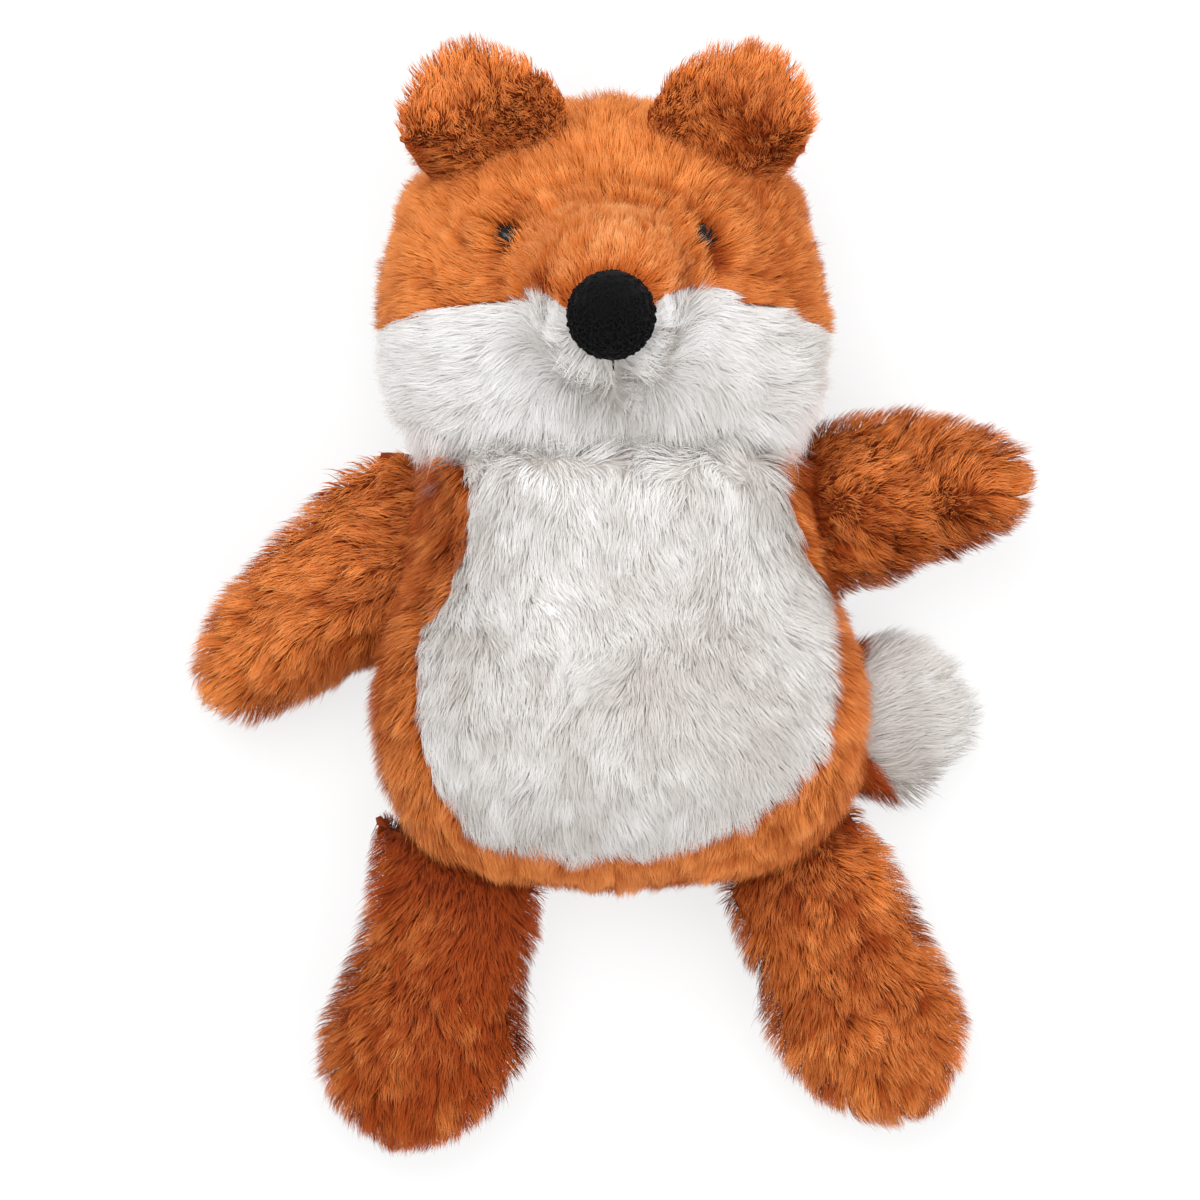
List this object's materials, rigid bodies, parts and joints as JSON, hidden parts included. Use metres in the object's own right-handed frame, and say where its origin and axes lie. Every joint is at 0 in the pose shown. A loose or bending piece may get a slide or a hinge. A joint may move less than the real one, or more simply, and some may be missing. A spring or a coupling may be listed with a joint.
{
  "type": "plush fox",
  "caption": "Small stuffed toy fox lying on its back, long-pile orange and white plush, knitted black nose, with limbs, tail, ears and head that fold or turn at their seams.",
  "frame": {"origin": "the flat of the back that the toy lies on, below the middle of the belly", "axes": "+Z out of the belly, +Y towards the head, +X to the toy's own left"},
  "size_m": [0.2132, 0.2764, 0.1172],
  "materials": {
    "orange_plush": "long-pile plush, matt",
    "pale_orange_plush": "short-pile plush, matt",
    "white_plush": "long-pile plush, matt",
    "fibre_filling": "loose fibre",
    "black_knitted_yarn": "knitted, matt",
    "black_bead_plastic": "polished",
    "clear_washer_plastic": "moulded"
  },
  "bodies": {
    "torso": {"belly_panel": "white_plush", "back_panel": "orange_plush", "body_stuffing": "fibre_filling"},
    "head": {"head_crown_panel": "orange_plush", "head_cheek_panel": "white_plush", "head_back_panel": "orange_plush", "head_stuffing": "fibre_filling", "snout_top_panel": "pale_orange_plush", "snout_under_panel": "white_plush", "snout_stuffing": "fibre_filling", "nose": "black_knitted_yarn", "eye_left": "black_bead_plastic", "eye_right": "black_bead_plastic", "eye_washer_left": "clear_washer_plastic", "eye_washer_right": "clear_washer_plastic"},
    "ear_left": {"ear_left_front_panel": "orange_plush", "ear_left_back_panel": "orange_plush"},
    "ear_right": {"ear_right_front_panel": "orange_plush", "ear_right_back_panel": "orange_plush"},
    "arm_left": {"arm_left_front_panel": "orange_plush", "arm_left_back_panel": "orange_plush", "arm_left_stuffing": "fibre_filling"},
    "arm_right": {"arm_right_front_panel": "orange_plush", "arm_right_back_panel": "orange_plush", "arm_right_stuffing": "fibre_filling"},
    "leg_left": {"leg_left_front_panel": "orange_plush", "leg_left_back_panel": "orange_plush", "leg_left_stuffing": "fibre_filling"},
    "leg_right": {"leg_right_front_panel": "orange_plush", "leg_right_back_panel": "orange_plush", "leg_right_stuffing": "fibre_filling"},
    "tail": {"tail_root_panel": "orange_plush", "tail_tip_panel": "white_plush", "tail_stuffing": "fibre_filling"}
  },
  "joints": [
    {"name": "head_turn", "type": "hinge", "parent": "torso", "child": "head", "pos_m": [0, 0.063, 0.0323], "axis": [0, 1, 0], "range_deg": [-25, 25], "stiffness_Nm_per_rad": 0.2},
    {"name": "ear_fold_left", "type": "hinge", "parent": "head", "child": "ear_left", "pos_m": [0.02764, 0.12932, 0.06262], "axis": [0.866, -0.5, 0], "range_deg": [-15, 35], "stiffness_Nm_per_rad": 0.02},
    {"name": "ear_fold_right", "type": "hinge", "parent": "head", "child": "ear_right", "pos_m": [-0.03264, 0.12932, 0.06262], "axis": [0.9136, 0.4067, 0], "range_deg": [-15, 35], "stiffness_Nm_per_rad": 0.02},
    {"name": "arm_fold_left", "type": "hinge", "parent": "torso", "child": "arm_left", "pos_m": [0.05257, 0.03986, 0.02427], "axis": [0.2588, -0.9659, 0], "range_deg": [-15, 50], "stiffness_Nm_per_rad": 0.05},
    {"name": "arm_fold_right", "type": "hinge", "parent": "torso", "child": "arm_right", "pos_m": [-0.05494, 0.03058, 0.02411], "axis": [0.2756, 0.9613, 0], "range_deg": [-15, 50], "stiffness_Nm_per_rad": 0.05},
    {"name": "leg_fold_left", "type": "hinge", "parent": "torso", "child": "leg_left", "pos_m": [0.04675, -0.0485, 0.02282], "axis": [-0.829, -0.5592, 0], "range_deg": [-15, 50], "stiffness_Nm_per_rad": 0.1},
    {"name": "leg_fold_right", "type": "hinge", "parent": "torso", "child": "leg_right", "pos_m": [-0.04202, -0.05059, 0.02329], "axis": [-0.9336, 0.3584, 0], "range_deg": [-15, 50], "stiffness_Nm_per_rad": 0.1},
    {"name": "tail_swing", "type": "hinge", "parent": "torso", "child": "tail", "pos_m": [0.05661, -0.01028, 0.0129], "axis": [0, 1, 0], "range_deg": [-5, 75], "stiffness_Nm_per_rad": 0.03}
  ]
}
